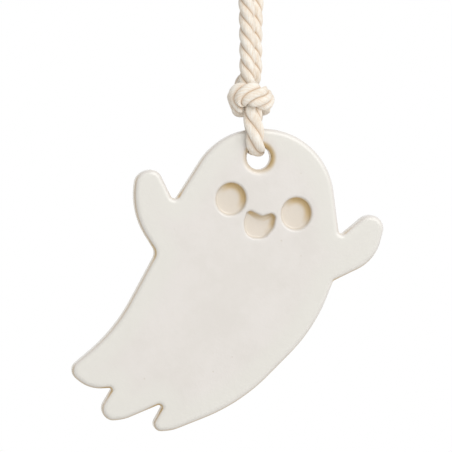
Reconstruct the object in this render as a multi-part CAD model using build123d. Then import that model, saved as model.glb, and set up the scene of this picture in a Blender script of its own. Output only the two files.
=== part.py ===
"""Flat ceramic ghost ornament hanging on a knotted three-strand cotton rope.

Millimetres, +Z up, +X to the viewer's right, the ghost's face towards -Y.
The origin is the hang point, under the top of the rope's loop, where a hook bears.
"""

import math
import os

from build123d import *

# Plaque: a rolled slab, cut to outline, with softened edges
PLAQUE_T = 6.0
EDGE_R = 1.2
HOLE_X = 1.65
HOLE_Z = -59.3
HOLE_D = 5.8
HOLE_RIM = 0.9

# Outline corners about the hole's centre: x, z and the radius that rounds the corner
OUTLINE = [
    (-9.6, 6.3, 17.2),  # crown, left
    (16.2, 8.1, 17.5),  # crown, right
    (19.7, -19.4, 0.9),  # right neck
    (33.0, -8.4, 3.2),  # right hand
    (28.5, -25.1, 10.5),  # right palm
    (18.2, -30.0, 1.1),  # right armpit
    (13.6, -41.6, 41.0),  # belly
    (-4.4, -59.6, 45.0),  # hem
    (-21.1, -66.1, 11.0),  # lower tail, right
    (-26.9, -66.4, 1.75),  # lower tail
    (-22.9, -59.2, 0.65),  # lower notch
    (-32.5, -63.2, 10.5),  # middle tail, right
    (-40.7, -64.2, 2.8),  # middle tail
    (-35.5, -55.6, 0.5),  # upper notch
    (-41.3, -55.9, 8.3),  # upper tail, below
    (-46.7, -51.4, 2.45),  # upper tail
    (-35.0, -41.7, 42.0),  # back
    (-24.9, -23.0, 2.5),  # left armpit
    (-31.0, -13.3, 18.8),  # left elbow
    (-29.8, -3.7, 3.6),  # left palm
    (-24.7, -2.4, 2.9),  # left hand
    (-20.6, -10.9, 1.0),  # left neck
]

# Face: two oval eyes and a mouth, pressed into the front
FACE_DEPTH = 1.6
FACE_RIM = 0.5
FACE_FLOOR_R = 0.8
EYE_W = 7.5
EYE_H = 8.0
EYE_LEAN = -10.0
EYES = [
    (-1, -3.1, -10.0),  # left: side of the mouth, inner edge and height
    (1, 5.3, -13.6),  # right
]
MOUTH = [
    (-2.8, -12.35, 1.2),  # left corner
    (0.8, -14.1, 1.3),  # lip
    (4.45, -12.9, 1.2),  # right corner
    (3.65, -17.1, 3.4),  # right cheek
    (1.3, -19.75, 2.8),  # chin, right
    (-3.2, -19.4, 2.6),  # chin, left
    (-3.8, -15.6, 4.0),  # left cheek
]

# Rope: round in the hanging loop, squeezed in the knot, flattened through the hole
ROPE_D = 4.0
KNOT_D = 3.2
KNOT_GAP = 0.45
BIGHT_W = 4.0
BIGHT_T = 2.6
BIGHT_GAP = 0.47
LEG_GAP = 0.35
END_GAP = 0.1

# Hanging loop: clear width inside its top, the heights of its shoulders and of its closed legs
LOOP_CLEAR = 7.7
LOOP_YAW = 63.7
SHOULDER_HALF = 5.5
SHOULDER_Z = -9.4
LEG_Z = -23.0

# Knot: its centre, and its turns in pitches of the squeezed rope
KNOT_X = -0.2
KNOT_Z = -44.9
CORE_END = (-0.12, -0.53, 0.47)
CORE_TOP = 1.4
KNOT_TURNS = [
    (0.20, 0.66, 2.79),  # right leg comes in
    (-0.33, 0.86, 1.66),  # behind the left leg
    (-0.27, 1.33, 0.93),
    (0.37, 1.46, 0.66),  # across the back
    (1.00, 0.80, 0.63),
    (1.10, -0.40, 0.60),  # round the right
    (0.43, -1.53, 0.53),  # front band
    (-0.57, -1.66, -0.03),
    (-1.04, -0.53, -0.37),  # round the left
    (-0.80, 0.60, -0.60),
    (0.03, 1.36, -0.60),  # across the back again
    (0.93, 1.00, -0.43),
    (1.20, 0.00, -0.40),  # round the right again
    (0.86, -0.73, -0.43),  # under the band
    (0.33, -0.83, -0.80),  # down the front
]
LOW_TURN = -0.60

# Legs over the plaque: how far up each face they hang straight, and how far left they lean
FACE_RISE = 8.0
FRONT_LEAN = 1.0
BACK_LEAN = 1.2

# Share of the shorter run that an arc takes on each side of its corner
ARC_SHARE = 0.45
GAP_STEPS = 160

PITCH = KNOT_D + KNOT_GAP
LEG_HALF = (ROPE_D + LEG_GAP) / 2
LOOP_HALF = (LOOP_CLEAR + ROPE_D) / 2
TOP_Z = ROPE_D / 2
FACE_Y = PLAQUE_T / 2 + BIGHT_GAP + BIGHT_T / 2
HOLE_LEVEL = HOLE_Z + HOLE_D / 2 - BIGHT_GAP - BIGHT_T / 2
HOLE_BEND = HOLE_RIM + BIGHT_GAP + BIGHT_T / 2
BACK_END = KNOT_Z + LOW_TURN * PITCH - KNOT_D / 2 - END_GAP


def closed_outline(corners):
    """Face bounded by straight runs and the arcs that round the given corners."""
    points = [(x, z) for x, z, _ in corners]
    radii = [radius for _, _, radius in corners]
    return make_face(FilletPolyline(*points, radius=radii, close=True))


def make_plaque():
    """Slab with the hole, the pressed face and every edge softened, about the hole's centre."""
    slab = extrude(Plane.XZ * closed_outline(OUTLINE), PLAQUE_T / 2, both=True)
    slab -= extrude(Plane.XZ * Circle(HOLE_D / 2), PLAQUE_T, both=True)
    floor = Plane.XZ.offset(PLAQUE_T / 2 - FACE_DEPTH)
    eye = Ellipse(EYE_W / 2, EYE_H / 2, rotation=EYE_LEAN)
    marks = [Pos(edge + side * EYE_W / 2, z) * eye for side, edge, z in EYES]
    marks.append(closed_outline(MOUTH))
    for mark in marks:
        slab -= extrude(floor * mark, FACE_DEPTH)
    front, *floors, back = slab.faces().filter_by(Axis.Y).sort_by(Axis.Y)
    hole = front.inner_wires().sort_by(SortBy.LENGTH)[0].edges() + back.inner_wires()[0].edges()
    rims = [edge for wire in front.inner_wires().sort_by(SortBy.LENGTH)[1:] for edge in wire.edges()]
    beds = [edge for face in floors for edge in face.edges()]
    outer = front.outer_wire().edges() + back.outer_wire().edges()
    slab = fillet(beds, FACE_FLOOR_R)
    for edges, radius in ((rims, FACE_RIM), (hole, HOLE_RIM), (outer, EDGE_R)):
        slab = slab.fillet(radius, [find_edge(slab, edge) for edge in edges])
    return slab


def find_edge(solid, edge):
    """The solid's edge whose middle lies on the middle of an edge picked earlier."""
    return solid.edges().sort_by_distance(edge.position_at(0.5))[0]


def loop_point(side, half, z):
    """Point of the hanging loop on its left (-1) or right (+1) leg."""
    yaw = math.radians(LOOP_YAW)
    return Vector(side * half * math.cos(yaw), side * half * math.sin(yaw), z)


def knot_point(x, y, z):
    """Point of the knot, given in pitches from its centre."""
    return Vector(KNOT_X + x * PITCH, y * PITCH, KNOT_Z + z * PITCH)


def rope_route():
    """The rope's corners from its end in the knot, round the loop, through the knot and the hole."""
    route = [knot_point(*CORE_END)]
    route += [loop_point(-1, LEG_HALF, LEG_Z), loop_point(-1, SHOULDER_HALF, SHOULDER_Z)]
    route += [loop_point(-1, LOOP_HALF, TOP_Z), loop_point(1, LOOP_HALF, TOP_Z)]
    route += [loop_point(1, SHOULDER_HALF, SHOULDER_Z), loop_point(1, LEG_HALF, LEG_Z)]
    route += [knot_point(*turn) for turn in KNOT_TURNS]
    route.append(Vector(HOLE_X - FRONT_LEAN, -FACE_Y, HOLE_Z + FACE_RISE))
    route.append(Vector(HOLE_X, -FACE_Y, HOLE_LEVEL))
    route.append(Vector(HOLE_X, FACE_Y, HOLE_LEVEL))
    route.append(Vector(HOLE_X - BACK_LEAN, FACE_Y, BACK_END))
    return route


def arc_radii(route):
    """Radius of the arc at each inner corner; the two bends at the hole take the rim's size."""
    radii = []
    for before, corner, after in zip(route, route[1:], route[2:]):
        run_in = corner - before
        run_out = after - corner
        half_turn = math.radians(run_in.get_angle(run_out)) / 2
        radii.append(ARC_SHARE * min(run_in.length, run_out.length) / math.tan(half_turn))
    radii[-2:] = [HOLE_BEND, HOLE_BEND]
    return radii


def stretch(route, radii, start, first, last, end):
    """Path from start, round the corners first to last of the route, to end."""
    points = [start, *route[first : last + 1], end]
    return Wire(FilletPolyline(*points, radius=radii[first - 1 : last]).edges())


def tube(name, path, width, thick):
    """Sweep an oval of the given width and thickness along a path, and print how true it is."""
    start = path.position_at(0)
    section = Plane(start, x_dir=(1, 0, 0), z_dir=path.tangent_at(0)) * Ellipse(width / 2, thick / 2)
    solid = sweep(section, path=path).solids()[0]
    ratio = solid.volume / (math.pi / 4 * width * thick * path.length)
    print(f"{name}: length {path.length:.1f}, volume over section times length {ratio:.4f}")
    return solid


def least_gap(path, diameter):
    """Least clear gap of a tube to itself, measured between points over two diameters apart."""
    points = [path.position_at(step / GAP_STEPS) for step in range(GAP_STEPS + 1)]
    apart = math.ceil(2 * diameter / path.length * GAP_STEPS)
    pairs = ((a, b) for i, a in enumerate(points) for b in points[i + apart :])
    return min((a - b).length for a, b in pairs) - diameter


def middle(a, b):
    """Point halfway along a run."""
    return (a + b) * 0.5


route = rope_route()
radii = arc_radii(route)
print("arc radii", [round(radius, 1) for radius in radii])

# Where the stretches meet: above the knot on each leg, and below it on the front
knot_in = 7
knot_out = knot_in + len(KNOT_TURNS) - 1
core_share = (CORE_TOP - CORE_END[2]) * PITCH / (LEG_Z - route[0].Z)
core_top = route[0] + (route[1] - route[0]) * core_share
right_top = middle(route[knot_in], route[knot_in + 1])
front_top = middle(route[knot_out], route[knot_out + 1])

loop_path = stretch(route, radii, core_top, 1, knot_in, right_top)
knot_path = stretch(route, radii, right_top, knot_in + 1, knot_out, front_top)
hole_path = stretch(route, radii, front_top, knot_out + 1, knot_out + 3, route[-1])
core_path = Wire([Edge.make_line(route[0], core_top)])

parts = {
    "ghost_plaque": Pos(HOLE_X, 0, HOLE_Z) * make_plaque(),
    "rope_hanging_loop": tube("rope_hanging_loop", loop_path, ROPE_D, ROPE_D),
    "rope_knot": tube("rope_knot", knot_path, KNOT_D, KNOT_D),
    "rope_knot_core": tube("rope_knot_core", core_path, KNOT_D, KNOT_D),
    "rope_hole_bight": tube("rope_hole_bight", hole_path, BIGHT_W, BIGHT_T),
}
print("knot's least gap to itself", round(least_gap(knot_path, KNOT_D), 2))
print("rope length", round(sum(path.length for path in (loop_path, knot_path, hole_path, core_path)), 1))

os.makedirs("parts", exist_ok=True)
for node, shape in parts.items():
    export_step(shape, f"parts/{node}.step")
    print(node, "volume", round(shape.volume, 1), "size", shape.bounding_box().size)
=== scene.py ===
"""Glazed ceramic ghost ornament on a knotted cotton rope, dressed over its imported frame.

Metres in Blender and millimetres in the fields below, unless a field says otherwise. +Z is up,
+X is the viewer's right and the ghost's face looks towards -Y. The origin is the hang point
under the top of the rope's loop.
"""

from __future__ import annotations

import itertools
import logging
import math
from dataclasses import dataclass, field
from enum import Enum

import bpy
import numpy as np
import numpy.typing as npt
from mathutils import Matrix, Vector
from mathutils.geometry import delaunay_2d_cdt


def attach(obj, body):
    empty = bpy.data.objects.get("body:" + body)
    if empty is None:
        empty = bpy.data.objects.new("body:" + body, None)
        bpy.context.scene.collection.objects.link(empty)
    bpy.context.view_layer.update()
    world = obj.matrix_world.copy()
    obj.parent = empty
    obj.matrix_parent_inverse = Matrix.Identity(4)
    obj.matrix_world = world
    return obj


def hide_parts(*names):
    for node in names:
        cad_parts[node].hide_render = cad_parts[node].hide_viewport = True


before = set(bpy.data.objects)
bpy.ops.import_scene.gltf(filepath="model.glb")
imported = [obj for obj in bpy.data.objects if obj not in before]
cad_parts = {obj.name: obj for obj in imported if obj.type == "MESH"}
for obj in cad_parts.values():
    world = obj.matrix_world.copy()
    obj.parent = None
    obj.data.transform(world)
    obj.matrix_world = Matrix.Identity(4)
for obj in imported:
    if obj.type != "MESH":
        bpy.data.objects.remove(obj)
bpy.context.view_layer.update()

Array = npt.NDArray[np.float64]
Indices = npt.NDArray[np.int64]
Rgb = tuple[int, int, int]
Rgba = tuple[float, float, float, float]
Pair = tuple[float, float]
Triple = tuple[float, float, float]
Feed = bpy.types.NodeSocket | float | tuple[float, ...]
Inputs = dict[str | int, Feed]

MM = 0.001
FULL_CIRCLE = 2.0 * math.pi
# A bend of a path counts over this many points each way, and this many radians count as one
BEND_WINDOW = 24
BEND_FULL = 0.9
# Kind of triangulation that keeps what lies inside the links
INSIDE_LINKS = 1
log = logging.getLogger("ghost_ornament")


class Body(Enum):
    """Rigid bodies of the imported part."""

    CORD = "cord"
    GHOST = "ghost"


class Finish(Enum):
    """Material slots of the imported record."""

    GLAZE = "glaze"
    COTTON = "cotton"


def unit(vectors: Array) -> Array:
    """Vectors of length one along the last axis."""
    return vectors / np.linalg.norm(vectors, axis=-1, keepdims=True)


def rise(values: Array, low: float, high: float) -> Array:
    """Smooth step from 0 at low to 1 at high, 3t^2 - 2t^3."""
    share = np.clip((values - low) / (high - low), 0.0, 1.0)
    return share * share * (3.0 - 2.0 * share)


def linear(red: int, green: int, blue: int) -> Rgba:
    """A colour written in 8-bit display values, as the linear RGBA that sockets take.

    A display share c is c / 12.92 up to 0.04045, and ((c + 0.055) / 1.055) ** 2.4 above it.

    Args:
        red: Display value from 0 to 255.
        green: Display value from 0 to 255.
        blue: Display value from 0 to 255.

    Returns:
        Linear red, green and blue, and an alpha of one.
    """
    shares = (red / 255.0, green / 255.0, blue / 255.0)
    parts = tuple(c / 12.92 if c <= 0.04045 else ((c + 0.055) / 1.055) ** 2.4 for c in shares)
    return (*parts, 1.0)


def unit_circle(count: int) -> Array:
    """Counter-clockwise points on a circle of radius one, from +X."""
    turn = np.linspace(0.0, FULL_CIRCLE, count, endpoint=False)
    return np.column_stack([np.cos(turn), np.sin(turn)])


def stand_up(plane: Array, y: Array | float) -> Array:
    """Points x, z of the plate's plane, with their place along Y put between the two."""
    return np.stack([plane[..., 0], np.broadcast_to(y, plane.shape[:-1]), plane[..., 1]], axis=-1)


def round_corners(corners: Array, steps: int) -> tuple[Array, Array]:
    """Closed path round a polygon whose corners are replaced by arcs.

    An arc's centre lies on its corner's bisector, at radius / sin(half the corner's angle),
    so that the arc touches both sides.

    Args:
        corners: Rows of x, z and the radius that rounds the corner.
        steps: Points on each arc.

    Returns:
        Points of the path, and the angle that it turns on the way to each next point.
    """
    here, radius = corners[:, :2], corners[:, 2:]
    to_last = unit(np.roll(here, 1, axis=0) - here)
    to_next = unit(np.roll(here, -1, axis=0) - here)
    half = np.arccos((to_last * to_next).sum(axis=1, keepdims=True)) / 2.0
    centre = here + unit(to_last + to_next) * radius / np.sin(half)
    start = here + to_last * radius / np.tan(half) - centre
    end = here + to_next * radius / np.tan(half) - centre
    first = np.arctan2(start[:, 1], start[:, 0])[:, None]
    sweep = np.arctan2(end[:, 1], end[:, 0])[:, None] - first
    sweep = (sweep + math.pi) % FULL_CIRCLE - math.pi
    angle = first + sweep * np.linspace(0.0, 1.0, steps)
    arcs = centre[:, None] + radius[:, None] * np.stack([np.cos(angle), np.sin(angle)], axis=-1)
    turns = np.repeat(np.abs(sweep) / (steps - 1), steps, axis=1)
    turns[:, -1] = 0.0
    return arcs.reshape(-1, 2), turns.ravel()


def walk_closed(points: Array, turns: Array, count: int, bend_weight: float) -> Array:
    """Points spread along a closed path, closer together where it turns.

    Spacing is even in length + bend_weight * angle turned.

    Args:
        points: Corners of the path.
        turns: Angle turned on the way to each next corner.
        count: Points wanted.
        bend_weight: Millimetres that one radian of turn counts for.

    Returns:
        The points, without the first one repeated.
    """
    step = np.linalg.norm(np.roll(points, -1, axis=0) - points, axis=1) + bend_weight * turns
    reach = np.concatenate([[0.0], np.cumsum(step)])
    at = np.linspace(0.0, reach[-1], count, endpoint=False)
    closed = np.vstack([points, points[:1]])
    return np.column_stack([np.interp(at, reach, closed[:, k]) for k in range(2)])


def runs_counter_clockwise(path: Array) -> bool:
    """Whether a closed path's signed area, the sum of its corners' cross products, is positive."""
    following = np.roll(path, -1, axis=0)
    return bool((path[:, 0] * following[:, 1] - following[:, 0] * path[:, 1]).sum() > 0.0)


def outward(path: Array) -> Array:
    """In-plane normals of a closed path, square to the chord between each point's neighbours.

    Args:
        path: Points of the path.

    Returns:
        Normals of length one that point out of the path.
    """
    chord = unit(np.roll(path, -1, axis=0) - np.roll(path, 1, axis=0))
    normals = np.column_stack([chord[:, 1], -chord[:, 0]])
    return normals if runs_counter_clockwise(path) else -normals


def hollow(path: Array, spread: float) -> Array:
    """How much a counter-clockwise path turns inwards near each point.

    Inward turns are added up over their neighbours under a bell curve.

    Args:
        path: Points of a closed path.
        spread: Width of the bell curve, in points.

    Returns:
        From 0 on open edges to 1 in a notch.
    """
    chord = np.roll(path, -1, axis=0) - path
    heading = np.unwrap(np.arctan2(chord[:, 1], chord[:, 0]))
    turn = np.diff(heading, append=heading[:1] + FULL_CIRCLE)
    sharp = np.clip(-turn, 0.0, None)
    bell = np.exp(-0.5 * (np.arange(-BEND_WINDOW, BEND_WINDOW + 1) / spread) ** 2)
    padded = np.concatenate([sharp[-BEND_WINDOW:], sharp, sharp[:BEND_WINDOW]])
    return np.clip(np.convolve(padded, bell, mode="valid") / BEND_FULL, 0.0, 1.0)


def inside(points: Array, ring: Array) -> npt.NDArray[np.bool_]:
    """Which points lie in a ring: an upward ray from them crosses it an odd number of times.

    Args:
        points: Points to test.
        ring: Corners of a closed ring.

    Returns:
        True for each point inside.
    """
    x, z = points[:, :1], points[:, 1:]
    ax, az = ring.T
    bx, bz = np.roll(ring, -1, axis=0).T
    spans = (ax > x) != (bx > x)
    run = np.where(bx == ax, 1.0, bx - ax)
    above = az + (x - ax) * (bz - az) / run > z
    return (spans & above).sum(axis=1) % 2 == 1


def nearest(points: Array, others: Array) -> Array:
    """Distance from each point to the closest of the others."""
    return np.linalg.norm(points[..., None, :] - others, axis=-1).min(axis=-1)


def nearest_index(points: Array, others: tuple[Triple, ...]) -> Indices:
    """Index of the point that lies closest to each of the others."""
    return np.linalg.norm(np.array(others)[:, None] - points, axis=-1).argmin(axis=1)


@dataclass
class MeshDraft:
    """Patches of one mesh, gathered with the paint values of their points."""

    points: list[Array] = field(default_factory=list)
    paint: list[Array] = field(default_factory=list)
    faces: list[list[int]] = field(default_factory=list)
    size: int = 0

    def add(self, points: Array, paint: Array) -> Indices:
        """Add points.

        Args:
            points: Array whose last axis is x, y, z in millimetres.
            paint: Paint values, in a shape that spreads over the points.

        Returns:
            Index of each point, in the array's shape.
        """
        shape = points.shape[:-1]
        self.points.append(points.reshape(-1, 3))
        self.paint.append(np.broadcast_to(paint, shape).ravel())
        first = self.size
        self.size += self.points[-1].shape[0]
        return np.arange(first, self.size).reshape(shape)

    def quads(self, grid: Indices, flip: bool = False) -> None:
        """Faces of a grid that is closed along its first axis.

        Args:
            grid: Point indices, along the path and across it.
            flip: Turn the faces round.
        """
        after = np.roll(grid, -1, axis=0)
        corners = [grid[:, :-1], after[:, :-1], after[:, 1:], grid[:, 1:]]
        order = corners[::-1] if flip else corners
        self.faces += np.stack(order, axis=-1).reshape(-1, 4).tolist()

    def fan(self, ring: Indices, tip: Indices, flip: bool = False) -> None:
        """Triangles from a closed ring to one point.

        Args:
            ring: Point indices round the ring.
            tip: Index of the point.
            flip: Turn the faces round.
        """
        sides = [ring, np.roll(ring, -1), np.full_like(ring, tip)]
        order = sides[::-1] if flip else sides
        self.faces += np.column_stack(order).tolist()

    def triangles(self, corners: Indices, flip: bool = False) -> None:
        """Add triangles, turned round if flip is set."""
        self.faces += (corners[:, ::-1] if flip else corners).tolist()

    def to_object(self, name: str, paint_name: str) -> bpy.types.Object:
        """Smooth-shaded object in metres.

        Args:
            name: Name of the object and its mesh.
            paint_name: Name of the attribute that keeps the paint values.

        Returns:
            The object, linked to the scene.
        """
        mesh = bpy.data.meshes.new(name)
        mesh.from_pydata(np.concatenate(self.points) * MM, [], self.faces)
        mesh.attributes.new(paint_name, "FLOAT", "POINT")
        paint = np.concatenate(self.paint).astype(np.float32)
        mesh.attributes[paint_name].data.foreach_set("value", paint)
        mesh.shade_smooth()
        mesh.validate()
        piece = bpy.data.objects.new(name, mesh)
        bpy.context.scene.collection.objects.link(piece)
        return piece


@dataclass(frozen=True)
class Nodes:
    """Short forms for building one node tree."""

    tree: bpy.types.NodeTree

    def feed(self, node: bpy.types.Node, inputs: Inputs) -> None:
        """Link sockets to a node's inputs, or set constants on them.

        Args:
            node: The node.
            inputs: Socket or constant for each input, by its name or number.
        """
        for key, source in inputs.items():
            if isinstance(source, bpy.types.NodeSocket):
                self.tree.links.new(source, node.inputs[key])
            else:
                node.inputs[key].default_value = source

    def add(
        self, kind: str, output: str | int, inputs: Inputs, **settings: object
    ) -> bpy.types.NodeSocket:
        """Add a node and feed its inputs.

        Args:
            kind: Node type.
            output: Name or number of the output that is wanted.
            inputs: Socket or constant for each input, by its name or number.
            settings: Properties to set on the node.

        Returns:
            The output.
        """
        node = self.tree.nodes.new(kind)
        for key, value in settings.items():
            setattr(node, key, value)
        self.feed(node, inputs)
        return node.outputs[output]

    def ramp(self, value: Feed, start: Pair, to: Pair = (0.0, 1.0)) -> bpy.types.NodeSocket:
        """Map a value's range smoothly to another.

        Args:
            value: Socket to map.
            start: Start and end of its range.
            to: Results there.

        Returns:
            The result's socket.
        """
        limits = dict(zip(("From Min", "From Max", "To Min", "To Max"), (*start, *to)))
        inputs = {"Value": value, **limits}
        return self.add("ShaderNodeMapRange", "Result", inputs, interpolation_type="SMOOTHSTEP")

    def blend(self, share: Feed, low: Feed, high: Feed) -> bpy.types.NodeSocket:
        """Colour a share of the way from low to high, through a mix node's colour sockets."""
        return self.add("ShaderNodeMix", 2, {0: share, 6: low, 7: high}, data_type="RGBA")

    def combine(self, kind: str, first: Feed, second: Feed) -> bpy.types.NodeSocket:
        """Result of a math node of the given kind on two values."""
        return self.add("ShaderNodeMath", 0, {0: first, 1: second}, operation=kind)

    def seen_directly(self) -> bpy.types.NodeSocket:
        """Mask of what is looked at.

        Returns:
            One for rays from the camera, mirrors and glass, and zero for rays that only light.
        """
        camera = self.add("ShaderNodeLightPath", "Is Camera Ray", {})
        rays = camera.node.outputs
        seen = self.combine("MAXIMUM", camera, rays["Is Glossy Ray"])
        return self.combine("MAXIMUM", seen, rays["Is Transmission Ray"])


@dataclass(frozen=True)
class Mottle:
    """Soft blotches with finer grain in them, shared by the glaze and the cotton."""

    grain_ratio: float = 7.0
    wide_detail: float = 2.0
    grain_detail: float = 4.0

    def group(self) -> bpy.types.NodeTree:
        """Build the blotches.

        Returns:
            A group from a vector, a scale and the grain's share to a value near 0.5.
        """
        tree = bpy.data.node_groups.new("mottle", "ShaderNodeTree")
        tree.interface.new_socket("Vector", in_out="INPUT", socket_type="NodeSocketVector")
        tree.interface.new_socket("Scale", in_out="INPUT", socket_type="NodeSocketFloat")
        tree.interface.new_socket("Grain", in_out="INPUT", socket_type="NodeSocketFloat")
        tree.interface.new_socket("Value", in_out="OUTPUT", socket_type="NodeSocketFloat")
        nodes = Nodes(tree)
        vector = nodes.add("NodeGroupInput", "Vector", {})
        scale, share = (vector.node.outputs[name] for name in ("Scale", "Grain"))
        wide = {"Vector": vector, "Scale": scale, "Detail": self.wide_detail}
        finer = nodes.combine("MULTIPLY", scale, self.grain_ratio)
        fine = {"Vector": vector, "Scale": finer, "Detail": self.grain_detail}
        ends = [nodes.add("ShaderNodeTexNoise", "Fac", inputs) for inputs in (wide, fine)]
        mixed = nodes.add("ShaderNodeMix", "Result", {"Factor": share, "A": ends[0], "B": ends[1]})
        nodes.feed(tree.nodes.new("NodeGroupOutput"), {"Value": mixed})
        return tree


@dataclass(frozen=True)
class SatinGlaze:
    """Warm off-white glaze over buff clay, tan where it pools in hollows and where shade is painted
    on walls.
    """

    pale: Rgb = (231, 227, 223)
    deep: Rgb = (227, 223, 218)
    # Tan for glaze that pools in hollows, and for shade painted on walls that face away from the
    # light
    pool_and_shade_tan: Rgb = (208, 181, 130)
    speck: Rgb = (196, 184, 166)
    thin: Rgb = (230, 228, 222)
    thin_range: Pair = (-0.05, -1.0)
    # Blotches, pinholes and orange peel, with scales per metre
    blotch_scale: float = 70.0
    blotch_grain: float = 0.35
    blotch_range: Pair = (0.35, 0.65)
    pit_scale: float = 420.0
    pit_rarity: Pair = (0.86, 0.9)
    pit_edge: Pair = (0.14, 0.05)
    pit_stain: float = 0.3
    pit_depth: float = 0.8
    peel_scale: float = 1400.0
    peel_detail: float = 2.0
    peel_strength: float = 0.25
    peel_height_m: float = 0.00006
    # Shader: satin under a thin clear coat
    gloss_range: Pair = (0.3, 0.7)
    roughness: Pair = (0.34, 0.46)
    specular: float = 0.45
    coat: float = 0.7
    coat_roughness: float = 0.2

    def pits(self, nodes: Nodes, place: bpy.types.NodeSocket) -> bpy.types.NodeSocket:
        """Pinholes in a few cells of a Voronoi texture.

        Args:
            nodes: Tree to build in.
            place: Coordinates.

        Returns:
            One in a pinhole and zero elsewhere.
        """
        cells = {"Vector": place, "Scale": self.pit_scale}
        away = nodes.add("ShaderNodeTexVoronoi", "Distance", cells)
        drawn = {"Color": away.node.outputs["Color"]}
        chosen = nodes.ramp(nodes.add("ShaderNodeSeparateColor", "Red", drawn), self.pit_rarity)
        return nodes.combine("MULTIPLY", nodes.ramp(away, self.pit_edge), chosen)

    def material(self, mottle: bpy.types.NodeTree) -> bpy.types.Material:
        """Build the glaze: mottled colour, tan and pale tints by paint, sparse specks, orange peel.

        Paint above zero is tan: glaze that pools, and painted shade. Below zero is thin pale glaze.

        Args:
            mottle: Shared blotch group.

        Returns:
            The material.
        """
        material = bpy.data.materials.new("satin_glaze")
        material.use_nodes = True
        nodes = Nodes(material.node_tree)
        place = nodes.add("ShaderNodeTexCoord", "Object", {})
        pool_and_shade = nodes.add("ShaderNodeAttribute", "Fac", {}, attribute_name="pool_and_shade")
        blotch = {"Vector": place, "Scale": self.blotch_scale, "Grain": self.blotch_grain}
        cloud = nodes.add("ShaderNodeGroup", "Value", blotch, node_tree=mottle)
        pits = self.pits(nodes, place)
        clouded = nodes.ramp(cloud, self.blotch_range)
        ground = nodes.blend(clouded, linear(*self.deep), linear(*self.pale))
        stain = nodes.combine("MULTIPLY", pits, self.pit_stain)
        speckled = nodes.blend(stain, ground, linear(*self.speck))
        lean = nodes.blend(nodes.ramp(pool_and_shade, self.thin_range), speckled, linear(*self.thin))
        peel = {"Vector": place, "Scale": self.peel_scale, "Detail": self.peel_detail}
        skin = nodes.add("ShaderNodeTexNoise", "Fac", peel)
        height = nodes.combine("SUBTRACT", skin, nodes.combine("MULTIPLY", pits, self.pit_depth))
        bump = {"Height": height, "Strength": self.peel_strength, "Distance": self.peel_height_m}
        surface = {
            # Tan by the paint: glaze that pools, and painted shade
            "Base Color": nodes.blend(pool_and_shade, lean, linear(*self.pool_and_shade_tan)),
            "Roughness": nodes.ramp(cloud, self.gloss_range, self.roughness),
            "Normal": nodes.add("ShaderNodeBump", "Normal", bump),
            "Specular IOR Level": self.specular,
            "Coat Weight": self.coat,
            "Coat Roughness": self.coat_roughness,
        }
        nodes.feed(material.node_tree.nodes["Principled BSDF"], surface)
        return material


@dataclass(frozen=True)
class UndyedCotton:
    """Soft cream cotton with fine fibres along the rope, and shade painted in tan into its creases.
    """

    crest: Rgb = (255, 251, 243)
    shade: Rgb = (241, 227, 209)
    # Painted shade: tan in the creases between strands, and a darker tan at their bottom
    crease: Rgb = (232, 213, 193)
    depth: Rgb = (202, 173, 136)
    crease_range: Pair = (0.2, 0.95)
    depth_range: Pair = (0.8, 1.0)
    # Fibre lines and blotches, with scales per millimetre of the rope laid straight
    fibre_draw: Triple = (1.0, 1.0, 0.07)
    fibre_scale: float = 5.0
    fibre_detail: float = 3.0
    fibre_strength: float = 0.7
    fibre_height_m: float = 0.00022
    blotch_scale: float = 0.5
    blotch_grain: float = 0.4
    worn_range: Pair = (0.75, 1.2)
    # Shader: matt, with a soft fuzz
    roughness: float = 0.86
    specular: float = 0.2
    fuzz: float = 1.0
    fuzz_roughness: float = 0.5
    fuzz_tint: Rgba = (1.0, 0.93, 0.84, 1.0)

    def material(self, mottle: bpy.types.NodeTree) -> bpy.types.Material:
        """Build the cotton: fibre lines on the fibre attribute, painted shade by the crease
        attribute.

        Args:
            mottle: Shared blotch group.

        Returns:
            The material.
        """
        material = bpy.data.materials.new("undyed_cotton")
        material.use_nodes = True
        nodes = Nodes(material.node_tree)
        fibre = nodes.add("ShaderNodeAttribute", "Vector", {}, attribute_name="fibre")
        crease = nodes.add("ShaderNodeAttribute", "Fac", {}, attribute_name="crease")
        stretch = {"Vector": fibre, "Scale": self.fibre_draw}
        drawn = nodes.add("ShaderNodeMapping", "Vector", stretch)
        streaks = {"Vector": drawn, "Scale": self.fibre_scale, "Detail": self.fibre_detail}
        lines = nodes.add("ShaderNodeTexNoise", "Fac", streaks)
        blotch = {"Vector": fibre, "Scale": self.blotch_scale, "Grain": self.blotch_grain}
        cloud = nodes.add("ShaderNodeGroup", "Value", blotch, node_tree=mottle)
        worn = nodes.ramp(nodes.combine("ADD", lines, cloud), self.worn_range)
        ground = nodes.blend(worn, linear(*self.shade), linear(*self.crest))
        # Painted shade in the creases
        crease_shaded = nodes.blend(nodes.ramp(crease, self.crease_range), ground, linear(*self.crease))
        deepest_shade = nodes.ramp(crease, self.depth_range)
        bump = {"Height": lines, "Strength": self.fibre_strength, "Distance": self.fibre_height_m}
        surface = {
            "Base Color": nodes.blend(deepest_shade, crease_shaded, linear(*self.depth)),
            "Normal": nodes.add("ShaderNodeBump", "Normal", bump),
            "Roughness": self.roughness,
            "Specular IOR Level": self.specular,
            "Sheen Weight": self.fuzz,
            "Sheen Roughness": self.fuzz_roughness,
            "Sheen Tint": self.fuzz_tint,
        }
        nodes.feed(material.node_tree.nodes["Principled BSDF"], surface)
        return material


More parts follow.
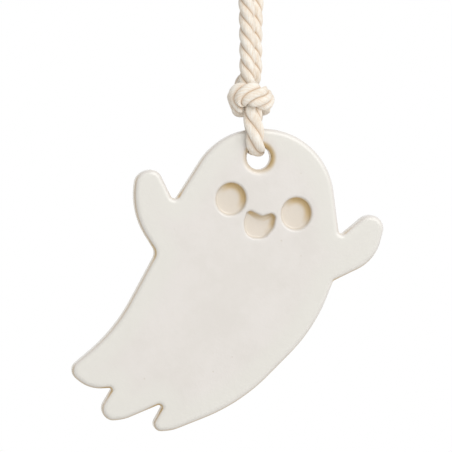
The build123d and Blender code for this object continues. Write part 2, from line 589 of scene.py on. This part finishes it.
@dataclass(frozen=True)
class FloorPaint:
    """Matt pale grey that fades to plain white away from the ornament."""

    colour: Rgba = (0.84, 0.84, 0.84, 1.0)
    roughness: float = 0.9
    fade_m: Pair = (0.08, 0.4)
    along_floor: Triple = (1.0, 1.0, 0.0)

    def material(self) -> bpy.types.Material:
        """Build the paint, white by the distance along the floor from the hang point.

        Returns:
            The material.
        """
        material = bpy.data.materials.new("pale_floor")
        material.use_nodes = True
        nodes = Nodes(material.node_tree)
        shader = material.node_tree.nodes["Principled BSDF"]
        nodes.feed(shader, {"Base Color": self.colour, "Roughness": self.roughness})
        place = nodes.add("ShaderNodeTexCoord", "Object", {})
        level = {0: place, 1: self.along_floor}
        flat = nodes.add("ShaderNodeVectorMath", 0, level, operation="MULTIPLY")
        away = nodes.add("ShaderNodeVectorMath", "Value", {0: flat}, operation="LENGTH")
        faded = nodes.ramp(away, self.fade_m)
        share = nodes.combine("MULTIPLY", faded, nodes.seen_directly())
        plain = nodes.add("ShaderNodeEmission", 0, {})
        mixed = nodes.add("ShaderNodeMixShader", 0, {0: share, 1: shader.outputs[0], 2: plain})
        nodes.feed(material.node_tree.nodes["Material Output"], {"Surface": mixed})
        return material


@dataclass
class Pressing:
    """One mark pressed into the face: a rounded rim, a steep wall and a dished floor."""

    path: Array
    depth: float = 1.6
    rim: float = 0.62
    wall_angle: float = math.radians(75.0)
    floor_radius: float = 0.55
    dish: float = 0.06
    rim_steps: int = 9
    floor_steps: int = 7
    # Tan paint on the floor, for glaze that pools there and painted shade, and on the wall that
    # faces away from the light, for painted shade: its values, and the depth, reach and facing over
    # which they rise
    floor_pool_and_shade: float = 0.25
    floor_range: Pair = (0.1, 0.9)
    wall_shade: float = 0.78
    wall_range: Pair = (0.05, 0.85)
    wall_reach: Pair = (0.8, 2.1)
    facing_range: Pair = (-0.3, 0.8)
    lip_loss: float = 0.7
    lip_spread: float = 8.0

    def profile(self) -> tuple[Array, Array]:
        """Section across the wall.

        The rim and the floor's fillet are arcs of the wall's angle, with a straight wall between.

        Returns:
            Distance inwards from the mark's outline, and depth below the face.
        """
        lean = self.wall_angle
        drop = 1.0 - math.cos(lean)
        angle = np.linspace(0.0, lean, self.rim_steps)
        wall = (self.depth - (self.rim + self.floor_radius) * drop) / math.sin(lean)
        top = self.rim * drop
        foot_in = wall * math.cos(lean)
        foot_down = top + wall * math.sin(lean)
        back = angle[::-1]
        inwards = [self.rim * (np.sin(angle) - math.sin(lean))]
        inwards += [foot_in + self.floor_radius * (math.sin(lean) - np.sin(back))]
        down = [self.rim * (1.0 - np.cos(angle))]
        down += [foot_down + self.floor_radius * (np.cos(back) - math.cos(lean))]
        return np.concatenate(inwards), np.concatenate(down)

    def rings(self) -> tuple[Array, Array, Array]:
        """Rings from the face down to the floor, then shrinking towards its middle.

        Returns:
            Points of the rings in the plane, their depth, and the middle of the floor.
        """
        inwards, down = self.profile()
        ring = self.path[:, None] - outward(self.path)[:, None] * inwards[None, :, None]
        middle = self.path.mean(axis=0)
        shrink = np.linspace(1.0, 0.0, self.floor_steps + 1)[1:-1]
        floor = middle + (ring[:, -1:] - middle) * shrink[None, :, None]
        deep = self.depth + self.dish * (1.0 - shrink**2)
        return np.concatenate([ring, floor], axis=1), np.concatenate([down, deep]), middle

    def pooling_and_shade(self, rings: Array, down: Array, shaded_side: Pair) -> Array:
        """Tan paint: glaze that pools, and painted shade, on the floor; painted shade on the shaded
        wall.

        Args:
            rings: Points of the rings in the plane.
            down: Depth of each ring.
            shaded_side: Direction of the wall that lies in shade and gets the most painted shade.

        Returns:
            Paint value of each point.
        """
        share = down / self.depth
        facing = (outward(self.path) @ shaded_side)[:, None]
        near = 1.0 - rise(nearest(rings, self.path), *self.wall_reach)
        kept = 1.0 - self.lip_loss * hollow(self.path, self.lip_spread)
        wall = rise(share, *self.wall_range) * near * kept[:, None]
        # Painted shade: tan on the wall that faces away from the light, less at the lip
        shaded = self.wall_shade * wall * rise(facing, *self.facing_range)
        return self.floor_pool_and_shade * rise(share, *self.floor_range) + shaded


@dataclass
class GhostPlate:
    """Flat plate of clay cut to a ghost's outline, with a punched hole and a pressed face."""

    hole_x: float = 1.65
    hole_z: float = -59.3
    thickness: float = 6.0
    edge_width: float = 1.3
    edge_height: float = 1.2
    hole_radius: float = 2.9
    hole_rim: float = 1.6
    # Marks and outline about the hole's centre, with corners as x, z and rounding radius
    eye_width: float = 7.5
    eye_height: float = 8.0
    eye_lean: float = math.radians(-10.0)
    eyes: tuple[Pair, ...] = ((-6.85, -10.0), (9.05, -13.6))
    mouth_rim: float = 0.48
    mouth_floor_radius: float = 0.5
    mouth_reach: Pair = (0.6, 1.7)
    mouth: tuple[Triple, ...] = (
        (-2.8, -12.35, 1.2),  # left corner
        (0.8, -14.1, 1.3),  # lip
        (4.45, -12.9, 1.2),  # right corner
        (3.65, -17.1, 3.4),  # right cheek
        (1.3, -19.75, 2.8),  # chin, right
        (-3.2, -19.4, 2.6),  # chin, left
        (-3.8, -15.6, 4.0),  # left cheek
    )
    outline: tuple[Triple, ...] = (
        (-9.6, 6.3, 17.2),  # crown, left
        (16.2, 8.1, 17.5),  # crown, right
        (19.7, -19.4, 0.9),  # right neck
        (33.0, -8.4, 3.2),  # right hand
        (28.5, -25.1, 10.5),  # right palm
        (18.2, -30.0, 1.1),  # right armpit
        (13.6, -41.6, 41.0),  # belly
        (-4.4, -59.6, 45.0),  # hem
        (-21.1, -66.1, 11.0),  # lower tail, right
        (-26.9, -66.4, 1.75),  # lower tail
        (-22.9, -59.2, 0.65),  # lower notch
        (-32.5, -63.2, 10.5),  # middle tail, right
        (-40.7, -64.2, 2.8),  # middle tail
        (-35.5, -55.6, 0.5),  # upper notch
        (-41.3, -55.9, 8.3),  # upper tail, below
        (-46.7, -51.4, 2.45),  # upper tail
        (-35.0, -41.7, 42.0),  # back
        (-24.9, -23.0, 2.5),  # left armpit
        (-31.0, -13.3, 18.8),  # left elbow
        (-29.8, -3.7, 3.6),  # left palm
        (-24.7, -2.4, 2.9),  # left hand
        (-20.6, -10.9, 1.0),  # left neck
    )
    # Mesh: points along the paths, on their arcs and across the edges, and the faces' grid
    edge_points: int = 1000
    mark_points: int = 120
    arc_points: int = 40
    bend_weight: float = 0.7
    edge_steps: tuple[int, int] = (13, 6)
    hole_steps: tuple[int, int] = (9, 10)
    face_spacing: float = 1.1
    row_share: float = 0.866
    clear_share: float = 0.45
    merge_distance: float = 1e-7
    # Rolled clay: waves as factors of x and z and a phase, and their height
    waves: tuple[Triple, ...] = ((0.11, 0.05, 0.0), (-0.09, 0.07, 1.3), (0.19, 0.16, 2.1))
    swell: float = 0.05
    # Glaze: the side of a mark whose wall lies in shade, thin glaze's reach, and the hole's painted
    # shade
    shaded_side: Pair = (0.64, 0.77)
    thin_reach: float = 8.0
    hole_shade: Pair = (0.35, 1.0)
    hole_facing: Pair = (-0.7, 0.4)
    hole_range: Pair = (0.1, 1.12)
    # Shade painted in tan on the edge: on walls that face away from that side, and in the notches,
    # where glaze also pools
    edge_shade: float = 0.6
    edge_facing: Pair = (0.5, -0.5)
    edge_start: float = 0.35
    notch_pool_and_shade: float = 0.8
    notch_least: float = 0.3
    notch_spread: float = 5.0

    def closed(self, corners: tuple[Triple, ...], count: int) -> Array:
        """Counter-clockwise path with rounded corners, about the hole.

        Args:
            corners: Rows of x, z and radius.
            count: Points wanted.

        Returns:
            The path's points.
        """
        points, turns = round_corners(np.array(corners), self.arc_points)
        path = walk_closed(points, turns, count, self.bend_weight)
        return path if runs_counter_clockwise(path) else path[::-1]

    def oval(self, x: float, z: float) -> Array:
        """Counter-clockwise ellipse of an eye: a circle, stretched and then turned by the lean.

        Args:
            x: Middle of the eye.
            z: Middle of the eye.

        Returns:
            The ellipse's points.
        """
        half = (self.eye_width / 2.0, self.eye_height / 2.0)
        across, up = (unit_circle(self.mark_points) * half).T
        cos, sin = math.cos(self.eye_lean), math.sin(self.eye_lean)
        return np.column_stack([x + across * cos - up * sin, z + across * sin + up * cos])

    def marks(self) -> list[Pressing]:
        """The eyes and the mouth.

        Returns:
            The pressed marks.
        """
        eyes = [Pressing(self.oval(x, z)) for x, z in self.eyes]
        mouth = Pressing(
            self.closed(self.mouth, self.mark_points),
            rim=self.mouth_rim,
            floor_radius=self.mouth_floor_radius,
            wall_reach=self.mouth_reach,
        )
        return [*eyes, mouth]

    def wall_profile(
        self, width: float, height: float, round_steps: int, wall_steps: int
    ) -> tuple[Array, Array]:
        """Section of a wall through the plate: a quarter oval at each face and a flat between.

        Args:
            width: How far the oval runs in from the wall, along the face.
            height: How far it runs down from the face.
            round_steps: Points on each oval.
            wall_steps: Points on the flat, with the ovals' ends.

        Returns:
            Distance from the wall, and y, from the front face to the back.
        """
        angle = np.linspace(0.0, math.pi / 2.0, round_steps)
        inset = width * (1.0 - np.sin(angle))
        front = height * (1.0 - np.cos(angle)) - self.thickness / 2.0
        flat = np.linspace(front[-1], -front[-1], wall_steps)[1:-1]
        depth = np.concatenate([front, flat, -front[::-1]])
        return np.concatenate([inset, np.zeros(len(flat)), inset[::-1]]), depth

    def face_grid(self, rings: list[Array]) -> Array:
        """Staggered grid of points over a face, clear of its rings.

        Args:
            rings: The face's rim, then the rings of its gaps.

        Returns:
            The points.
        """
        rim, *gaps = rings
        low, high = rim.min(axis=0), rim.max(axis=0)
        columns = np.arange(low[0], high[0], self.face_spacing)
        rows = np.arange(low[1], high[1], self.face_spacing * self.row_share)
        across, up = np.meshgrid(columns, rows)
        across[1::2] += self.face_spacing / 2.0
        grid = np.column_stack([across.ravel(), up.ravel()])
        grid = grid[inside(grid, rim)]
        for gap in gaps:
            grid = grid[~inside(grid, gap)]
        return grid[nearest(grid, np.concatenate(rings)) > self.clear_share * self.face_spacing]

    def fill(self, draft: MeshDraft, edges: list[tuple[Array, Indices]], y: float) -> None:
        """Fill a flat face between its rim and its gaps with triangles over an even grid of points.

        Glaze is thin near the rim, which a paint value below zero stands for.

        Args:
            draft: Mesh that takes the triangles.
            edges: Rings of the face's rim and of its gaps, with their indices in the mesh.
            y: Height of the face along Y. A face with positive y looks backwards.
        """
        rings = [ring for ring, _ in edges]
        grid = self.face_grid(rings)
        starts = np.cumsum([0, *(len(ring) for ring in rings)])
        spans = [np.arange(first, last) for first, last in itertools.pairwise(starts)]
        links = np.concatenate([np.column_stack([span, np.roll(span, -1)]) for span in spans])
        points = np.concatenate([*rings, grid])
        filled = delaunay_2d_cdt(
            points.tolist(), links.tolist(), [], INSIDE_LINKS, self.merge_distance
        )
        # No points merge and no links cross, so the corners number the points as they are given
        corners = np.array(filled[2])
        for gap in rings[1:]:
            corners = corners[~inside(points[corners].mean(axis=1), gap)]
        thin = rise(nearest(grid, rings[0]), self.thin_reach, 0.0)
        new = draft.add(stand_up(grid, y), -thin)
        index = np.concatenate([*(ring_index for _, ring_index in edges), new])
        draft.triangles(index[corners], flip=y > 0.0)

    def press(self, draft: MeshDraft, mark: Pressing) -> tuple[Array, Indices]:
        """Add one pressed mark to the front.

        Args:
            draft: Mesh that takes it.
            mark: The mark.

        Returns:
            The mark's ring on the face and its indices.
        """
        rings, down, middle = mark.rings()
        tint = mark.pooling_and_shade(rings, down, self.shaded_side)
        grid = draft.add(stand_up(rings, down - self.thickness / 2.0), tint)
        draft.quads(grid)
        bottom = stand_up(middle[None], mark.depth + mark.dish - self.thickness / 2.0)
        tip = draft.add(bottom, tint[:1, -1])
        draft.fan(grid[:, -1], tip)
        return rings[:, 0], grid[:, 0]

    def punch(self, draft: MeshDraft) -> tuple[Array, Indices, Indices]:
        """Add the hole's wall: a circle carried along a section with a rounded rim at both ends.

        Args:
            draft: Mesh that takes it.

        Returns:
            The hole's ring on a face, and its indices on the front and on the back.
        """
        circle = unit_circle(self.mark_points)
        inset, y = self.wall_profile(self.hole_rim, self.hole_rim, *self.hole_steps)
        rings = circle[:, None] * (self.hole_radius + inset)[None, :, None]
        # Painted shade: tan on the hole's rounding and wall, heaviest on the side that faces away
        # from the light
        into = rise(self.hole_rim - inset, *self.hole_range)
        least, most = self.hole_shade
        facing = rise(circle @ self.shaded_side, *self.hole_facing)
        tint = into * (least + (most - least) * facing)[:, None]
        grid = draft.add(stand_up(rings, y), tint)
        draft.quads(grid)
        return rings[:, 0], grid[:, 0], grid[:, -1]

    def cut_edge(self, draft: MeshDraft) -> tuple[Array, Indices, Indices]:
        """Add the plate's edge: its section carried along the outline.

        Glaze is thin on the rounding. Shade is painted in tan on walls that face away from the
        light, and in the notches, where glaze also pools.

        Args:
            draft: Mesh that takes it.

        Returns:
            The outline's ring on a face, and its indices on the front and on the back.
        """
        path = self.closed(self.outline, self.edge_points)
        inset, y = self.wall_profile(self.edge_width, self.edge_height, *self.edge_steps)
        rings = path[:, None] - outward(path)[:, None] * inset[None, :, None]
        # Painted shade in tan on walls that face away from the light, and in the notches, with
        # glaze that pools there
        wall = rise(self.edge_width - inset, self.edge_start * self.edge_width, self.edge_width)
        shaded = rise(outward(path) @ self.shaded_side, *self.edge_facing)
        turned = self.notch_least + (1.0 - self.notch_least) * shaded
        notch = hollow(path, self.notch_spread) * turned
        shade_and_pool = (self.notch_pool_and_shade * notch + self.edge_shade * shaded)[:, None] * wall
        tint = np.clip(shade_and_pool, 0.0, 1.0) - (1.0 - wall) ** 2
        grid = draft.add(stand_up(rings, y), tint)
        draft.quads(grid, flip=True)
        return rings[:, 0], grid[:, 0], grid[:, -1]

    def warp(self, points: Array) -> Array:
        """Lift both faces a little in slow waves, the mean of three sines, as rolled clay dries.

        Args:
            points: Rows of x, y and z.

        Returns:
            The points, moved along Y by a share that is greatest on the faces.
        """
        x, y, z = points.T
        by_x, by_z, phase = np.array(self.waves).T[..., None]
        wave = np.sin(by_x * x + by_z * z + phase).mean(axis=0)
        share = np.clip(y / (self.thickness / 2.0), -1.0, 1.0) ** 3
        return np.column_stack([x, y + self.swell * wave * share, z])

    def build(self, finish: bpy.types.Material) -> bpy.types.Object:
        """Build the plate, dress it and hang it on its body.

        Args:
            finish: Glaze.

        Returns:
            The plate.
        """
        draft = MeshDraft()
        rim, front_rim, back_rim = self.cut_edge(draft)
        hole, front_hole, back_hole = self.punch(draft)
        pressed = [self.press(draft, mark) for mark in self.marks()]
        front, back = -self.thickness / 2.0, self.thickness / 2.0
        self.fill(draft, [(rim, front_rim), (hole, front_hole), *pressed], front)
        self.fill(draft, [(rim, back_rim), (hole, back_hole)], back)
        draft.points = [self.warp(np.concatenate(draft.points)) + (self.hole_x, 0.0, self.hole_z)]
        plate = draft.to_object("ghost_plate", "pool_and_shade")
        plate.data.materials.append(finish)
        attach(plate, Body.GHOST.value)
        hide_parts("ghost_plaque")
        return plate


@dataclass
class KnottedRope:
    """Three-strand cotton rope: from the knot round the hanging loop, knotted, through the hole."""

    # Control points of the centre line, in metres
    route: tuple[Triple, ...] = (
        (-0.00105, -0.00195, -0.04700),  # end in the knot
        (-0.00105, -0.00195, -0.02300),  # left leg
        (-0.00244, -0.00493, -0.00940),
        (-0.00259, -0.00524, 0.00200),  # top of the loop
        (0.00259, 0.00524, 0.00200),
        (0.00244, 0.00493, -0.00940),
        (0.00110, 0.00195, -0.02300),  # right leg
        (0.00095, 0.00210, -0.03550),
        (0.00100, 0.00230, -0.04080),  # into the knot
        (-0.00205, 0.00300, -0.04060),  # behind the left leg
        (-0.00160, 0.00500, -0.04340),
        (0.00115, 0.00550, -0.04440),  # across the back
        (0.00330, 0.00360, -0.04520),
        (0.00420, -0.00100, -0.04550),  # round the right
        (0.00240, -0.00530, -0.04480),  # front band
        (-0.00140, -0.00630, -0.04360),
        (-0.00445, -0.00510, -0.04440),
        (-0.00380, -0.00260, -0.04680),  # round the left
        (-0.00250, 0.00060, -0.04780),
        (0.00040, 0.00290, -0.04820),  # across the back again
        (0.00240, 0.00200, -0.04790),
        (0.00290, -0.00060, -0.04730),  # round the right again
        (0.00120, -0.00270, -0.04570),  # under the band
        (-0.00030, -0.00350, -0.04720),
        (0.00015, -0.00477, -0.05100),  # down the plate's front
        (0.00070, -0.00477, -0.05750),  # into the hole
        (0.00140, 0.00477, -0.05770),  # out at the back
        (0.00120, 0.00460, -0.05100),
        (0.00070, 0.00320, -0.04720),  # end under the knot
    )
    plate: GhostPlate = field(default_factory=GhostPlate)
    length: float = 167.1
    diameter: float = 4.0
    strands: int = 3
    # Along the rope: how far a strand lies off the axis, and the degrees that the lay has turned
    reliefs: tuple[Pair, ...] = ((98.0, 0.7), (103.0, 0.84), (157.0, 0.84), (161.0, 0.6))
    twists: tuple[Pair, ...] = (
        (0.0, 15.0),
        (99.0, -3144.0),
        (113.5, -3480.0),
        (118.5, -3690.0),
        (126.5, -4000.0),
        (133.5, -4360.0),
        (146.9, -4430.0),
        (173.9, -5060.0),
    )
    twist_window: int = 31
    # Knot: its middle, and the band across its front between two points of the centre line
    knot: Triple = (-0.2, 0.0, -44.9)
    band_ends: tuple[Triple, Triple] = ((4.2, -1.0, -45.4), (-3.9, -3.0, -46.6))
    band_in: Pair = (-3.0, 4.0)
    band_out: Pair = (-2.0, 4.0)
    band_fan: float = 0.4
    # Squeezing: shares of the rope's thickness lost and of its width gained, and where
    knot_press: Pair = (0.1, 0.06)
    knot_reach: Pair = (5.5, 9.0)
    band_press: Pair = (0.16, 0.4)
    rim_press: Pair = (0.26, 0.17)
    rim_reach: Pair = (6.5, 12.0)
    rim_lift: float = 1.5
    contact: float = 0.23
    contact_reach: float = 9.0
    # Mesh: rings along the rope, points on each strand, steps of the spline, and the ends' tips
    rings: int = 900
    strand_points: int = 28
    spline_steps: int = 60
    tip: float = 0.4

    def centreline(self) -> Array:
        """Evenly spaced points along the route's NURBS spline.

        Returns:
            The points, in millimetres.
        """
        curve = bpy.data.curves.new("rope_route", "CURVE")
        curve.dimensions = "3D"
        curve.resolution_u = self.spline_steps
        spline = curve.splines.new("NURBS")
        spline.points.add(len(self.route) - 1)
        weighted = np.column_stack([self.route, np.ones(len(self.route))])
        spline.points.foreach_set("co", weighted.ravel())
        spline.order_u = 3
        spline.use_endpoint_u = True
        holder = bpy.data.objects.new("rope_route", curve)
        mesh = bpy.data.meshes.new_from_object(holder)
        points = np.empty(len(mesh.vertices) * 3)
        mesh.vertices.foreach_get("co", points)
        bpy.data.objects.remove(holder)
        bpy.data.curves.remove(curve)
        bpy.data.meshes.remove(mesh)
        points = points.reshape(-1, 3) / MM
        steps = np.linalg.norm(np.diff(points, axis=0), axis=1)
        reach = np.concatenate([[0.0], np.cumsum(steps)])
        at = np.linspace(0.0, reach[-1], self.rings)
        return np.column_stack([np.interp(at, reach, points[:, k]) for k in range(3)])

    def axes(self, line: Array) -> tuple[Array, Array, Array]:
        """Frames that move along the line without twisting.

        Each normal is the last one with its part along the new tangent taken off.

        Args:
            line: Points of the centre line.

        Returns:
            Tangents, normals and binormals.
        """
        along = unit(np.gradient(line, axis=0))

        def carry(normal: Array, tangent: Array) -> Array:
            """The last normal, squared up to the next tangent."""
            return unit(normal - tangent * (normal @ tangent))

        first = carry(np.array([1.0, 0.0, 0.0]), along[0])
        normal = np.array(list(itertools.accumulate(along[1:], carry, initial=first)))
        return along, normal, np.cross(along, normal)

    def section(self, run: Array) -> tuple[Array, Array, Array]:
        """Outline of the strands that press on each other, in polar form.

        A strand's circle is seen from the rope's axis at a cos(b) + sqrt(r^2 - a^2 sin^2(b)),
        a being the strand's distance from the axis, r its radius and b the angle from its crest.

        Args:
            run: Distance along the rope at each ring.

        Returns:
            Angle about the axis, distance from it at each ring, and how deep in a crease each
            point lies.
        """
        half = math.pi / self.strands
        off = np.linspace(-half, half, self.strand_points, endpoint=False)
        reach = np.interp(run, *np.array(self.reliefs).T)[:, None]
        radius = self.diameter / 2.0 - reach
        out = reach * np.cos(off) + np.sqrt(radius**2 - (reach * np.sin(off)) ** 2)
        deep = np.abs(off) / half
        crests = np.arange(self.strands)[:, None] * 2.0 * half
        return (crests + off).ravel(), np.tile(out, self.strands), np.tile(deep**2, self.strands)

    def twist(self, run: Array) -> Array:
        """Angle of the first strand, from the stations, with their kinks evened out.

        The kinks go by a moving average under a Hann window, with the ends mirrored.

        Args:
            run: Distance along the rope at each ring.

        Returns:
            The angle at each ring, in radians.
        """
        window = np.hanning(self.twist_window)[1:-1]
        ends = len(window) // 2
        angle = np.interp(run, *np.array(self.twists).T)
        before = 2.0 * angle[0] - angle[ends:0:-1]
        after = 2.0 * angle[-1] - angle[-2 : -ends - 2 : -1]
        padded = np.concatenate([before, angle, after])
        return np.radians(np.convolve(padded, window / window.sum(), mode="valid"))

    def band(self, line: Array) -> Array:
        """The knot's front band, as a share that rises at its right end and falls at its left.

        Args:
            line: Points of the centre line.

        Returns:
            One on the band and zero elsewhere.
        """
        spacing = np.linalg.norm(line[1] - line[0])
        first, last = nearest_index(line, self.band_ends) * spacing
        run = np.arange(len(line)) * spacing
        begun = rise(run, first + self.band_in[0], first + self.band_in[1])
        return begun * (1.0 - rise(run, last + self.band_out[0], last + self.band_out[1]))

    def fan_out(self, line: Array, normal: Array, binormal: Array, turned: Array) -> Array:
        """Bring the strands round to the outside of the band.

        The angle b from the knot's middle loses share * sin(b), so strands crowd in front.

        Args:
            line: Points of the centre line.
            normal: Normals.
            binormal: Binormals.
            turned: Angle of each surface point about the centre line.

        Returns:
            The new angles.
        """
        out = line - np.array(self.knot)
        facing = np.arctan2((out * binormal).sum(axis=1), (out * normal).sum(axis=1))[:, None]
        return turned - self.band_fan * self.band(line)[:, None] * np.sin(turned - facing)

    def squeeze(self, line: Array, along: Array, offsets: Array) -> Array:
        """Flatten the rope against the plate and in the knot.

        Offsets lose a share of what points towards the rim or the knot's middle, and gain a share
        of what points across it.

        Args:
            line: Points of the centre line.
            along: Tangents.
            offsets: Surface points less the centre line.

        Returns:
            Flattened offsets.
        """
        plate = self.plate
        rim = np.array([plate.hole_x, 0.0, plate.hole_z + plate.hole_radius + self.rim_lift])
        near_rim = 1.0 - rise(np.linalg.norm(line - rim, axis=1), *self.rim_reach)
        heart = np.column_stack([np.full((len(line), 2), self.knot[:2]), line[:, 2]])
        near_knot = 1.0 - rise(np.linalg.norm(line - self.knot, axis=1), *self.knot_reach)
        presses = (
            (near_knot, heart, self.knot_press),
            (self.band(line), heart, self.band_press),
            (near_rim, rim, self.rim_press),
        )
        for weight, target, (thinned, widened) in presses:
            to_target = target - line
            inward = unit(to_target - along * (to_target * along).sum(axis=1, keepdims=True))
            side = np.cross(along, inward)
            for axis, gain in ((inward, -thinned * weight), (side, widened * weight)):
                share = (offsets * axis[:, None]).sum(axis=2) * gain[:, None]
                offsets = offsets + share[..., None] * axis[:, None]
        return offsets

    def press_on_plate(self, points: Array) -> Array:
        """Push points out of the plate round its hole, down to a small gap.

        Outside a rounded corner the distance is hypot(max(a, 0), max(b, 0)) - rim radius, a and b
        being how far a point lies inside the hole and off the face, from the rim's centre.

        Args:
            points: Rope's surface points.

        Returns:
            Points that clear the plate.
        """
        plate = self.plate
        x, z = points[..., 0] - plate.hole_x, points[..., 2] - plate.hole_z
        radial = np.hypot(x, z)
        in_hole = plate.hole_radius + plate.hole_rim - radial
        off_face = np.abs(points[..., 1]) - (plate.thickness / 2.0 - plate.hole_rim)
        a, b = np.clip(in_hole, 0.0, None), np.clip(off_face, 0.0, None)
        span = np.hypot(a, b)
        gap = np.where(span > 0.0, span, np.maximum(in_hole, off_face)) - plate.hole_rim
        push = np.clip(self.contact - gap, 0.0, None) * (radial < self.contact_reach)
        span = np.where(span > 0.0, span, 1.0)
        shift = push * a / span / np.where(radial > 0.0, radial, 1.0)
        moved = points.copy()
        moved[..., 0] -= shift * x
        moved[..., 2] -= shift * z
        moved[..., 1] += push * b / span * np.sign(points[..., 1])
        return moved

    def fibres(self, turned: Array, run: Array) -> Array:
        """Places on the rope as if it were straight, which its fibre lines follow.

        Args:
            turned: Angle of each surface point about the centre line.
            run: Distance along the rope at each ring.

        Returns:
            Rows of two places across the rope and one along it, with the two tips last.
        """
        radius = self.diameter / 2.0
        ahead = np.broadcast_to(run[:, None], turned.shape)
        lanes = np.stack([radius * np.cos(turned), radius * np.sin(turned), ahead], axis=-1)
        tips = [[0.0, 0.0, run[0]], [0.0, 0.0, run[-1]]]
        return np.concatenate([lanes.reshape(-1, 3), tips])

    def build(self, finish: bpy.types.Material) -> bpy.types.Object:
        """Args:
            finish: Cotton.

        Returns:
            The rope.
        """
        line = self.centreline()
        along, normal, binormal = self.axes(line)
        run = np.arange(len(line)) * np.linalg.norm(line[1] - line[0])
        angle, out, deep = self.section(run)
        turned = self.fan_out(line, normal, binormal, self.twist(run)[:, None] + angle)
        across, up = np.cos(turned)[..., None], np.sin(turned)[..., None]
        offsets = (across * normal[:, None] + up * binormal[:, None]) * out[..., None]
        surface = self.press_on_plate(line[:, None] + self.squeeze(line, along, offsets))
        draft = MeshDraft()
        # The paint is how deep in a crease each point lies, which the cotton turns into painted
        # shade
        grid = draft.add(surface, deep)
        draft.quads(grid.T)
        ends = np.array([line[0] - self.tip * along[0], line[-1] + self.tip * along[-1]])
        tips = draft.add(ends, np.zeros(2))
        draft.fan(grid[0], tips[0], flip=True)
        draft.fan(grid[-1], tips[1])
        rope = draft.to_object("cotton_rope", "crease")
        lanes = self.fibres(turned, run).astype(np.float32)
        rope.data.attributes.new("fibre", "FLOAT_VECTOR", "POINT")
        rope.data.attributes["fibre"].data.foreach_set("vector", lanes.ravel())
        rope.data.materials.append(finish)
        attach(rope, Body.CORD.value)
        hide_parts("rope_hanging_loop", "rope_knot", "rope_knot_core", "rope_hole_bight")
        return rope


@dataclass
class Studio:
    """Camera, soft light from the upper right, white surroundings and a pale floor."""

    target: Triple = (-6.13, 0.0, -75.93)
    azimuth: float = math.radians(-6.0)
    elevation: float = math.radians(2.0)
    distance: float = 900.0
    view_width: float = 109.7
    sensor: float = 36.0
    # Clipping, the lamp's size and its distance are in metres, as Blender takes them
    clip_m: Pair = (0.05, 20.0)
    key_power: float = 26.4
    key_size_m: float = 1.8
    key_far_m: float = 2.0
    key_from: Triple = (0.44, -0.78, 0.62)
    key_colour: Triple = (1.0, 0.995, 0.99)
    ambient: float = 0.5
    ambient_colour: Rgba = (1.0, 0.98, 0.945, 1.0)
    white: Rgba = (1.0, 1.0, 1.0, 1.0)
    floor_z: float = -200.0
    floor_radius: float = 1500.0
    floor_middle: float = 0.02
    floor_points: int = 96
    floor_rings: int = 12

    def camera(self) -> bpy.types.Object:
        """Long lens from slightly left and above.

        Returns:
            The camera, set as the scene's.
        """
        lens = bpy.data.cameras.new("camera")
        lens.sensor_width = self.sensor
        lens.lens = self.sensor * self.distance / self.view_width
        lens.clip_start, lens.clip_end = self.clip_m
        holder = bpy.data.objects.new("camera", lens)
        across, up = math.cos(self.elevation), math.sin(self.elevation)
        aim = Vector((math.sin(self.azimuth) * across, -math.cos(self.azimuth) * across, up))
        holder.location = (Vector(self.target) + aim * self.distance) * MM
        holder.rotation_euler = (-aim).to_track_quat("-Z", "Y").to_euler()
        bpy.context.scene.collection.objects.link(holder)
        bpy.context.scene.camera = holder
        return holder

    def key(self) -> bpy.types.Object:
        """Large square lamp at the upper right.

        Returns:
            The lamp.
        """
        lamp = bpy.data.lights.new("key", "AREA")
        lamp.size = self.key_size_m
        lamp.energy = self.key_power
        lamp.color = self.key_colour
        holder = bpy.data.objects.new("key", lamp)
        aim = Vector(self.key_from).normalized()
        holder.location = Vector(self.target) * MM + aim * self.key_far_m
        holder.rotation_euler = (-aim).to_track_quat("-Z", "Y").to_euler()
        bpy.context.scene.collection.objects.link(holder)
        return holder

    def surroundings(self) -> bpy.types.World:
        """White world that lights the object at a plain level.

        Returns:
            The world, set as the scene's.
        """
        world = bpy.data.worlds.new("white_room")
        world.use_nodes = True
        nodes = Nodes(world.node_tree)
        light = world.node_tree.nodes["Background"]
        nodes.feed(light, {"Color": self.ambient_colour, "Strength": self.ambient})
        backdrop = nodes.add("ShaderNodeBackground", 0, {"Color": self.white})
        shares = {0: nodes.seen_directly(), 1: light.outputs[0], 2: backdrop}
        mixed = nodes.add("ShaderNodeMixShader", 0, shares)
        nodes.feed(world.node_tree.nodes["World Output"], {"Surface": mixed})
        bpy.context.scene.world = world
        return world

    def floor(self) -> bpy.types.Object:
        """Pale disc under the ornament that keeps its shadow: rings round a middle point.

        Returns:
            The floor.
        """
        radius = self.floor_radius * np.linspace(self.floor_middle, 1.0, self.floor_rings)
        rings = unit_circle(self.floor_points)[:, None] * radius[None, :, None]
        height = np.full((*rings.shape[:2], 1), self.floor_z)
        draft = MeshDraft()
        grid = draft.add(np.concatenate([rings, height], axis=-1), np.zeros(1))
        draft.quads(grid, flip=True)
        tip = draft.add(np.array([[0.0, 0.0, self.floor_z]]), np.zeros(1))
        draft.fan(grid[:, 0], tip)
        floor = draft.to_object("pale_floor", "far")
        floor.data.materials.append(FloorPaint().material())
        return floor

    def build(self) -> None:
        """Set up the camera, the light and the floor."""
        self.camera()
        self.key()
        self.surroundings()
        self.floor()
        bpy.context.scene.view_settings.view_transform = "Standard"


def main() -> None:
    """Build the studio, the rope and the plate, and log their point and face counts."""
    logging.basicConfig(level=logging.INFO, format="%(name)s: %(message)s")
    Studio().build()
    mottle = Mottle().group()
    plate = GhostPlate()
    rope = KnottedRope(plate=plate).build(UndyedCotton().material(mottle))
    ghost = plate.build(SatinGlaze().material(mottle))
    for piece in (rope, ghost):
        mesh = piece.data
        log.info("%s: %d points, %d faces", piece.name, len(mesh.vertices), len(mesh.polygons))


if __name__ == "__main__":
    main()
